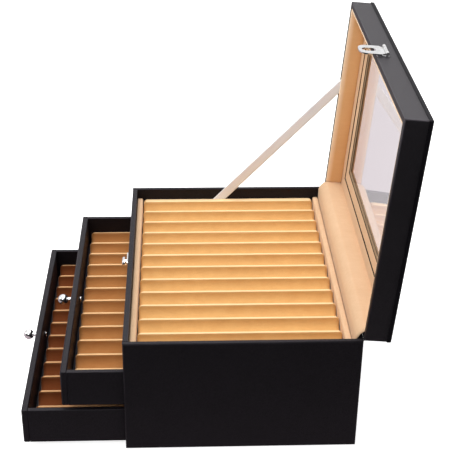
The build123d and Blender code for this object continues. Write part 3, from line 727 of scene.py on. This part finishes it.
def soft_frame(name, node, radius, seed, line, lip=math.inf, outer_gap=0.0, inner_gap=0.0):
    """A wrapped frame of the window: rounded, uneven, its sides past a line in painted shadow, past its
    lip in painted shade.
    """
    mesh = merged_copy(node)
    bmesh.ops.transform(mesh, matrix=LID.inverted(), verts=mesh.verts)
    low = Vector([min(v.co[axis] for v in mesh.verts) for axis in range(3)])
    high = Vector([max(v.co[axis] for v in mesh.verts) for axis in range(3)])
    middle, half = (low + high) / 2, (high - low) / 2
    for vert in mesh.verts:
        for axis in (0, 1):
            side = vert.co[axis] - middle[axis]
            if abs(abs(side) - half[axis]) < 0.1 * MM:
                vert.co[axis] -= math.copysign(outer_gap, side)
    inner = max(half.x - abs(vert.co.x - middle.x) for vert in mesh.verts)
    for vert in mesh.verts:
        for axis in (0, 1):
            side = vert.co[axis] - middle[axis]
            if abs(half[axis] - abs(side) - inner) < 0.1 * MM:
                vert.co[axis] += math.copysign(inner_gap, side)
    round_off(mesh, sharp_edges(mesh, 40, 20 * MM), radius, 3)
    for axis in (0, 1):
        cut_across(mesh, axis, low[axis], high[axis], FRAME_SPACING)
    mesh.normal_update()
    for face in mesh.faces:
        face.smooth = max(abs(value) for value in face.normal) < 0.999
        depth = face.calc_center_median().z
        # Painted shade: faces past the lip get the taupe cloth.
        if depth > lip:
            face.material_index = 2
        # Painted shadow gap: the side walls past the line get the dark cloth.
        elif depth > line and abs(face.normal.z) < 0.97:
            face.material_index = 1
    for vert in mesh.verts:
        if vert.co.z < high.z - 0.4 * MM:
            vert.co.z += waver(vert.co, 18 * MM, 0.12 * MM, seed)
    bmesh.ops.transform(mesh, matrix=LID, verts=mesh.verts)
    piece = new_piece(name, mesh, LINING, "lid", "soft_lining", node)
    piece.data.materials.append(PAINTED_SHADOW_GAP_CLOTH)
    piece.data.materials.append(PAINTED_SHADE_LIP_CLOTH)


soft_frame(
    "window_border_cloth", "window_border", radius=0.4 * MM, seed=9.0, line=17.75 * MM,
    inner_gap=0.35 * MM,
)
soft_frame(
    "window_moulding_cloth", "window_moulding", radius=0.3 * MM, seed=10.0, line=18.52 * MM,
    lip=19.17 * MM, outer_gap=0.35 * MM,
)


# ---------------------------------------------------------------- cloth over the hinge line
def lid_section_point(dy, dz):
    """A place on the lid's section, as the y and z of the open lid."""
    place = LID @ Vector((0, dy, dz))
    return place.y, place.z


def rounded_line(points, per_run=6):
    """A smooth line through section points."""
    spots = []
    for index in range(len(points) - 1):
        before = points[max(index - 1, 0)]
        start, end = points[index], points[index + 1]
        after = points[min(index + 2, len(points) - 1)]
        for step in range(per_run):
            t = step / per_run
            spots.append(tuple(
                0.5 * (2 * b + (c - a) * t + (2 * a - 5 * b + 4 * c - d) * t**2
                       + (3 * b - a - 3 * c + d) * t**3)
                for a, b, c, d in zip(before, start, end, after)
            ))
    return spots + [points[-1]]


# The cloth's section in millimetres, its face and its back. On the case each point is its depth
# behind the back lining's face and its height above the lining's foot, on the lid its y and z there.
COVER_FACE_ON_CASE = ((0.4, 0), (0.35, 12), (0.4, 23), (0.75, 27.4), (3.4, 32.0))
COVER_FACE_ON_LID = ((-8.35, 0.6), (-8.85, 4), (-8.95, 9), (-8.75, 14), (-8.2, 17.4))
COVER_BACK_ON_LID = ((-7.6, 18.15), (-5.1, 18.15), (-5.1, 0.8), (-6.9, 0.4))
COVER_BACK_ON_CASE = ((4.2, 31.2), (1.7, 26.8))
COVER_TUCK_START, COVER_TUCK_RUN = 0.985, 0.015


def hinge_cover():
    """One padded cloth from the case's back wall over the hinge line to the window's border."""
    low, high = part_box("case_back_lining")
    foot, front = low.z, low.y
    face_on_case = [(front + y * MM, foot + z * MM) for y, z in COVER_FACE_ON_CASE]
    face_on_lid = [lid_section_point(y * MM, z * MM) for y, z in COVER_FACE_ON_LID]
    face = rounded_line(face_on_case + face_on_lid)
    back = [lid_section_point(y * MM, z * MM) for y, z in COVER_BACK_ON_LID]
    back += [(front + y * MM, foot + z * MM) for y, z in COVER_BACK_ON_CASE]
    back += [(high.y - 0.05 * MM, foot + 26.0 * MM), (high.y - 0.05 * MM, foot)]
    mesh = bmesh.new()
    ring = [mesh.verts.new((low.x, y, z)) for y, z in face + back]
    edges = [mesh.edges.new((ring[i], ring[(i + 1) % len(ring)])) for i in range(len(ring))]
    steps = 72
    bmesh.ops.spin(
        mesh, geom=ring + edges, cent=(0, 0, 0), axis=(1, 0, 0), dvec=((high.x - low.x) / steps, 0, 0),
        angle=0.0, steps=steps, use_duplicate=False,
    )
    bmesh.ops.holes_fill(mesh, edges=[edge for edge in mesh.edges if edge.is_boundary])
    close_up(mesh)
    for vert in mesh.verts:
        tuck = max(0.0, abs(vert.co.x) / high.x - COVER_TUCK_START) / COVER_TUCK_RUN
        lift = waver(vert.co, 26 * MM, 0.45 * MM, 11.0) + waver(vert.co, 9 * MM, 0.12 * MM, 12.0)
        if vert.co.z > foot + 20 * MM:
            vert.co.z += min(lift, 0.3 * MM) - 0.2 * MM * tuck**2
    smooth_all(mesh)
    piece = new_piece(
        "hinge_cover", mesh, LINING, None, "soft_lining", "hinge_gusset", "lid_back_lining",
        "case_back_lining",
    )
    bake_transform(piece)


hinge_cover()


# ---------------------------------------------------------------- ribbon and felt
RIBBON_FOOT = Vector((0, -10, 104.2)) * MM
RIBBON_HEAD = LID @ (Vector((0, -119.5, 0.2)) * MM)
RIBBON_THICKNESS = 0.3 * MM


def stay_ribbon():
    """The satin ribbon that holds the lid, from the tray's edge to the lid's rim, pulled straight."""
    points = [vert.co for vert in nodes["lid_ribbon"].data.vertices]
    x_low, x_high = min(p.x for p in points), max(p.x for p in points)
    middle = (RIBBON_FOOT + RIBBON_HEAD) / 2
    run = (RIBBON_HEAD - RIBBON_FOOT).normalized()
    side = Vector((0, -run.z, run.y))
    reach = max((p - middle).dot(run) for p in points)
    mesh = bmesh.new()
    bmesh.ops.create_grid(mesh, x_segments=8, y_segments=120, size=0.5)
    layer = mesh.loops.layers.uv.new("weave")
    for face in mesh.faces:
        for loop in face.loops:
            u, v = loop.vert.co.x, loop.vert.co.y
            loop[layer].uv = (u * RIBBON_WIDTH / MM, v * 2 * reach / MM)
    for vert in mesh.verts:
        u, v = vert.co.x, vert.co.y
        pinch = 1 - 0.035 * math.exp(-((abs(v) - 0.44) / 0.05) ** 2)
        place = middle + run * (v * 2 * reach) + side * (u * RIBBON_WIDTH * pinch)
        cup = 0.1 * MM * (1 - (2 * u) ** 2)
        vert.co = Vector(((x_low + x_high) / 2 - 0.15 * MM + cup, place.y, place.z))
    bmesh.ops.recalc_face_normals(mesh, faces=mesh.faces)
    smooth_all(mesh)
    piece = new_piece("stay_ribbon", mesh, RIBBON, None, "ribbon", "lid_ribbon")
    thicken = piece.modifiers.new("Thickness", "SOLIDIFY")
    thicken.thickness, thicken.offset = RIBBON_THICKNESS, 0.0
    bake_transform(piece)


def base_sheet():
    """The felt sheet under the case."""
    mesh = merged_copy("base_felt")
    round_off(mesh, sharp_edges(mesh, 60), 0.15 * MM, 1, clamped=False)
    piece = new_piece("base_sheet", mesh, FELT, "case", "felt", "base_felt")


stay_ribbon()
base_sheet()


# ---------------------------------------------------------------- metal
for node in ("hinge_leaves_case", "hinge_pins", "catch_plate"):
    eased(node, 0.15 * MM, CHROME, "chrome", "case", shortest=0.6 * MM)
for node in ("hinge_leaves_lid", "hasp_base", "hasp_pin"):
    finish = CHROME if node == "hinge_leaves_lid" else DULL_CHROME
    eased(node, 0.15 * MM, finish, "chrome", "lid", LID, shortest=0.6 * MM)
eased("hasp_leaf", 0.2 * MM, CHROME, "chrome", "hasp", LID, shortest=0.5 * MM)
eased("turn_knob", 0.35 * MM, CHROME, "chrome", "catch", shortest=0.5 * MM)


def add_part(mesh, part, place, turn):
    """Put a finished bmesh into another one, at a place and a turn."""
    bmesh.ops.transform(part, matrix=Matrix.Translation(place) @ turn, verts=part.verts)
    data = bpy.data.meshes.new("part")
    part.to_mesh(data)
    part.free()
    mesh.from_mesh(data)
    bpy.data.meshes.remove(data)


def turned(mesh, profile, place, outward, steps):
    """Add a turned form to a mesh, its profile as radius and height along the outward axis."""
    lathe = bmesh.new()
    verts = [lathe.verts.new((radius, 0, height)) for radius, height in profile]
    edges = [lathe.edges.new(pair) for pair in zip(verts, verts[1:])]
    bmesh.ops.spin(
        lathe, geom=verts + edges, cent=(0, 0, 0), axis=(0, 0, 1), angle=2 * math.pi, steps=steps,
        use_merge=True,
    )
    close_up(lathe)
    smooth_all(lathe)
    add_part(mesh, lathe, place, outward.to_track_quat("Z", "X").to_matrix().to_4x4())


# The ball knob in millimetres: its foot's profile as radius and height, its neck and its ball.
KNOB_FOOT = ((0, 0), (4.45, 0), (4.6, 0.2), (4.6, 0.7), (4.3, 1.1), (3.4, 1.25), (2.7, 1.5), (2.25, 2.2))
KNOB_NECK = 2.1
BALL_RADIUS = 5.2
BALL_HEIGHT = 10
BALL_STEPS = 22


def ball_profile():
    """The ball knob's profile in metres: rosette, neck, ball."""
    start = -math.acos(KNOB_NECK / BALL_RADIUS)
    neck_end = BALL_HEIGHT + BALL_RADIUS * math.sin(start) - 0.15
    points = [*KNOB_FOOT, (KNOB_NECK, 3.2), (KNOB_NECK, neck_end)]
    for step in range(BALL_STEPS + 1):
        turn = start + (math.pi / 2 - start) * step / BALL_STEPS
        points.append((BALL_RADIUS * math.cos(turn), BALL_HEIGHT + BALL_RADIUS * math.sin(turn)))
    return [(max(radius, 0) * MM, height * MM) for radius, height in points]


def ball_knob(tier):
    """The chrome ball knob of one drawer."""
    low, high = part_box(f"{tier}_drawer_knob")
    mesh = bmesh.new()
    foot = Vector(((low.x + high.x) / 2, high.y, (low.z + high.z) / 2))
    turned(mesh, ball_profile(), foot, Vector((0, -1, 0)), steps=64)
    new_piece(f"{tier}_ball_knob", mesh, CHROME, f"{tier}_drawer", "chrome", f"{tier}_drawer_knob")


def loose_parts(node):
    """The separate solids of a CAD node, each as a list of points."""
    mesh = merged_copy(node)
    mesh.verts.index_update()
    seen, parts = set(), []
    for vert in mesh.verts:
        if vert.index in seen:
            continue
        seen.add(vert.index)
        waiting, part = [vert], []
        while waiting:
            spot = waiting.pop()
            part.append(spot.co.copy())
            for edge in spot.link_edges:
                other = edge.other_vert(spot)
                if other.index not in seen:
                    seen.add(other.index)
                    waiting.append(other)
        parts.append(part)
    mesh.free()
    return parts


# A screw head's cross recess as shares of the head's radius, and its depths below the rim.
RECESS_REACH, RECESS_WIDTH = 0.58, 0.14
RECESS_DEPTH = 0.5 * MM
SKIRT_DEPTH = 0.4 * MM


def cross_head(mesh, place, outward, radius, dome, turn_by):
    """Add a domed screw head with a cross recess, its rim at the place."""
    head = bmesh.new()
    bmesh.ops.create_circle(head, cap_ends=True, segments=28, radius=radius)
    for share in (0.12, 0.2, 0.2):
        top = min(head.faces, key=lambda face: face.calc_center_median().length)
        bmesh.ops.inset_region(head, faces=[top], thickness=radius * share, use_even_offset=True)
    arm, width = radius * RECESS_REACH, radius * RECESS_WIDTH
    for axis in (0, 1):
        for reach in (-arm, -width, width, arm):
            place_on, along = Vector((0, 0, 0)), Vector((0, 0, 0))
            place_on[axis], along[axis] = reach, 1.0
            geometry = head.verts[:] + head.edges[:] + head.faces[:]
            bmesh.ops.bisect_plane(head, geom=geometry, dist=1e-8, plane_co=place_on, plane_no=along)
    for vert in head.verts:
        vert.co.z = dome * (1 - (vert.co.xy.length / radius) ** 2)
    slot = []
    for face in head.faces:
        x, y = (abs(value) for value in face.calc_center_median().xy)
        if (x < width and y < arm) or (y < width and x < arm):
            slot.append(face)
    sunk = bmesh.ops.extrude_face_region(head, geom=slot)
    bmesh.ops.delete(head, geom=slot, context="FACES")
    for vert in (item for item in sunk["geom"] if isinstance(item, bmesh.types.BMVert)):
        vert.co.z -= RECESS_DEPTH
    rim = [edge for edge in head.edges if edge.is_boundary]
    skirt = bmesh.ops.extrude_edge_only(head, edges=rim)
    for vert in (item for item in skirt["geom"] if isinstance(item, bmesh.types.BMVert)):
        vert.co.z -= SKIRT_DEPTH
    close_up(head)
    turn = outward.to_track_quat("Z", "X").to_matrix().to_4x4() @ Matrix.Rotation(turn_by, 4, "Z")
    add_part(mesh, head, place, turn)


def screw_heads(name, node, outward, body, dome=0.25 * MM):
    """Cross-head screws where a CAD node's screws end, with their shanks below."""
    mesh = bmesh.new()
    for index, part in enumerate(loose_parts(node)):
        tip = max(point.dot(outward) for point in part)
        face = [point for point in part if point.dot(outward) > tip - 0.05 * MM]
        centre = sum(face, Vector()) / len(face)
        radius = max((point - centre).length for point in face)
        length = tip - min(point.dot(outward) for point in part)
        shank = [
            (0, -length), (radius * 0.42, -length + 0.4 * MM), (radius * 0.5, -radius * 0.7),
            (radius * 0.97, -0.2 * MM),
        ]
        turned(mesh, shank, centre, outward, steps=24)
        cross_head(mesh, centre, outward, radius * 0.98, dome, turn_by=0.5 + 1.3 * index)
    new_piece(name, mesh, CHROME, body, "chrome", node)


LID_OUT = (LID.to_3x3() @ Vector((0, 1, 0))).normalized()
for tier in DRAWERS:
    ball_knob(tier)
    screw_heads(f"{tier}_bolt", f"{tier}_drawer_knob_bolt", Vector((0, 1, 0)), f"{tier}_drawer")
for name, node, outward, body in (
    ("catch_screw_heads", "catch_screws", Vector((0, -1, 0)), "case"),
    ("case_hinge_screw_heads", "hinge_screws_case", Vector((0, 1, 0)), "case"),
    ("lid_hinge_screw_heads", "hinge_screws_lid", LID_OUT, "lid"),
    ("hasp_screw_heads", "hasp_screws", -LID_OUT, "lid"),
):
    screw_heads(name, node, outward, body, dome=0.1 * MM)


# ---------------------------------------------------------------- camera
def aim_camera():
    """A camera at the photograph's viewing angle, its angles in radians and its frame in pixels."""
    azimuth, elevation, roll = 0.04201, 0.50314, 0.01096
    place = Vector((951.40, -54.23, 672.94)) * MM
    focal, width, height = 1122.49, 476, 465
    centre_x, centre_y = 220.99, 226.24
    level = math.cos(elevation)
    forward = Vector((-math.cos(azimuth) * level, math.sin(azimuth) * level, -math.sin(elevation)))
    right = forward.cross(Vector((0, 0, 1))).normalized()
    up = right.cross(forward)
    turned_right = right * math.cos(roll) + up * math.sin(roll)
    turned_up = up * math.cos(roll) - right * math.sin(roll)
    data = bpy.data.cameras.new("studio camera")
    data.sensor_width = 36
    data.lens = focal * data.sensor_width / width
    data.shift_x = (width / 2 - centre_x) / width
    data.shift_y = (centre_y - height / 2) / width
    data.clip_start = 0.01
    camera = bpy.data.objects.new("studio camera", data)
    axes = Matrix((turned_right, turned_up, -forward)).transposed()
    camera.matrix_world = Matrix.Translation(place) @ axes.to_4x4()
    bpy.context.scene.collection.objects.link(camera)
    bpy.context.scene.camera = camera


aim_camera()


# ---------------------------------------------------------------- studio
WHITE = (1, 1, 1, 1)
FLOOR_COLOUR = (0.94, 0.94, 0.94, 1)
FLOOR_VEIL = 0.8
FLOOR_IN_GLOSS = (0.55, 0.46, 0.495, 1)
FLOOR_FADE = (0.1, 0.32)
FILL_LIGHT = 0.3
DIM = 0.03
CHEST_MIDDLE = Vector((0, 0, 0.12))


def shade_of(tree, coordinates, axis, low, high, to_low, to_high):
    """A value that goes from one number to another along an axis of a stage piece's coordinates."""
    source = tree.nodes.new("ShaderNodeTexCoord")
    split = tree.nodes.new("ShaderNodeSeparateXYZ")
    join(tree, source.outputs[coordinates], split.inputs[0])
    return spread(tree, split.outputs[axis], low, high, to_low, to_high)


def glow(tree, colour, strength):
    """An Emission shader whose strength is a socket or a number."""
    node = tree.nodes.new("ShaderNodeEmission")
    node.inputs["Color"].default_value = colour
    if isinstance(strength, (int, float)):
        node.inputs["Strength"].default_value = strength
    else:
        join(tree, strength, node.inputs["Strength"])
    return node.outputs[0]


def either(tree, factor, first, second):
    """Two shaders mixed by a value's socket."""
    node = tree.nodes.new("ShaderNodeMixShader")
    for socket, source in zip(node.inputs, (factor, first, second)):
        join(tree, source, socket)
    return node.outputs[0]


def make_floor():
    """A plain pale floor, lifted to white for the eye, that keeps the chest's shadow."""
    mesh = bmesh.new()
    bmesh.ops.create_grid(mesh, x_segments=1, y_segments=1, size=4.0)
    data = bpy.data.meshes.new("studio floor")
    mesh.to_mesh(data)
    mesh.free()
    floor = bpy.data.objects.new("studio floor", data)
    bpy.context.scene.collection.objects.link(floor)
    material, tree, shader = new_material("studio floor", 0.9)
    shader.inputs["Base Color"].default_value = FLOOR_COLOUR
    path = tree.nodes.new("ShaderNodeLightPath")
    veil = glow(tree, WHITE, times(tree, path.outputs["Is Camera Ray"], FLOOR_VEIL))
    lifted = tree.nodes.new("ShaderNodeAddShader")
    join(tree, shader.outputs[0], lifted.inputs[0])
    join(tree, veil, lifted.inputs[1])
    in_gloss = glow(tree, FLOOR_IN_GLOSS, shade_of(tree, "Object", "X", *FLOOR_FADE, 1.0, DIM))
    surface = either(tree, path.outputs["Is Glossy Ray"], lifted.outputs[0], in_gloss)
    surface = either(tree, path.outputs["Is Transmission Ray"], surface, glow(tree, WHITE, 1.0))
    join(tree, surface, tree.nodes["Material Output"].inputs["Surface"])
    data.materials.append(material)


def make_world():
    """A white surround: plain fill light, white past the floor, and one dim side in the gloss."""
    world = bpy.data.worlds.new("studio")
    bpy.context.scene.world = world
    world.use_nodes = True
    tree = world.node_tree
    background = tree.nodes["Background"]
    path = tree.nodes.new("ShaderNodeLightPath")
    glossy = path.outputs["Is Glossy Ray"]
    seen = math_node(tree, "MAXIMUM", path.outputs["Is Camera Ray"], path.outputs["Is Transmission Ray"])
    fill = times(tree, math_node(tree, "SUBTRACT", 1.0, glossy), FILL_LIGHT)
    dim_side = shade_of(tree, "Generated", "X", 0.0, 0.5, 1.0, DIM)
    overhead = shade_of(tree, "Generated", "Z", 0.45, 0.8, 0.0, 1.0)
    in_gloss = times(tree, glossy, math_node(tree, "MAXIMUM", dim_side, overhead))
    strength = math_node(tree, "MAXIMUM", math_node(tree, "MAXIMUM", seen, fill), in_gloss)
    join(tree, strength, background.inputs["Strength"])
    background.inputs["Color"].default_value = WHITE


def softbox(name, place, size, power):
    """A soft rectangular lamp aimed at the chest's middle."""
    data = bpy.data.lights.new(name, "AREA")
    data.shape = "RECTANGLE"
    data.size, data.size_y = size
    data.energy = power
    lamp = bpy.data.objects.new(name, data)
    lamp.location = place
    lamp.rotation_euler = (CHEST_MIDDLE - place).to_track_quat("-Z", "Y").to_euler()
    bpy.context.scene.collection.objects.link(lamp)


make_floor()
make_world()
softbox("overhead softbox", Vector((-0.3, -0.15, 1.5)), size=(1.1, 1.1), power=24)
softbox("front softbox", Vector((0.2, -1.6, 1.0)), size=(0.9, 0.7), power=6)
softbox("side softbox", Vector((1.5, -0.5, 1.3)), size=(1.0, 1.0), power=7)

view = bpy.context.scene.view_settings
view.view_transform = "Standard"
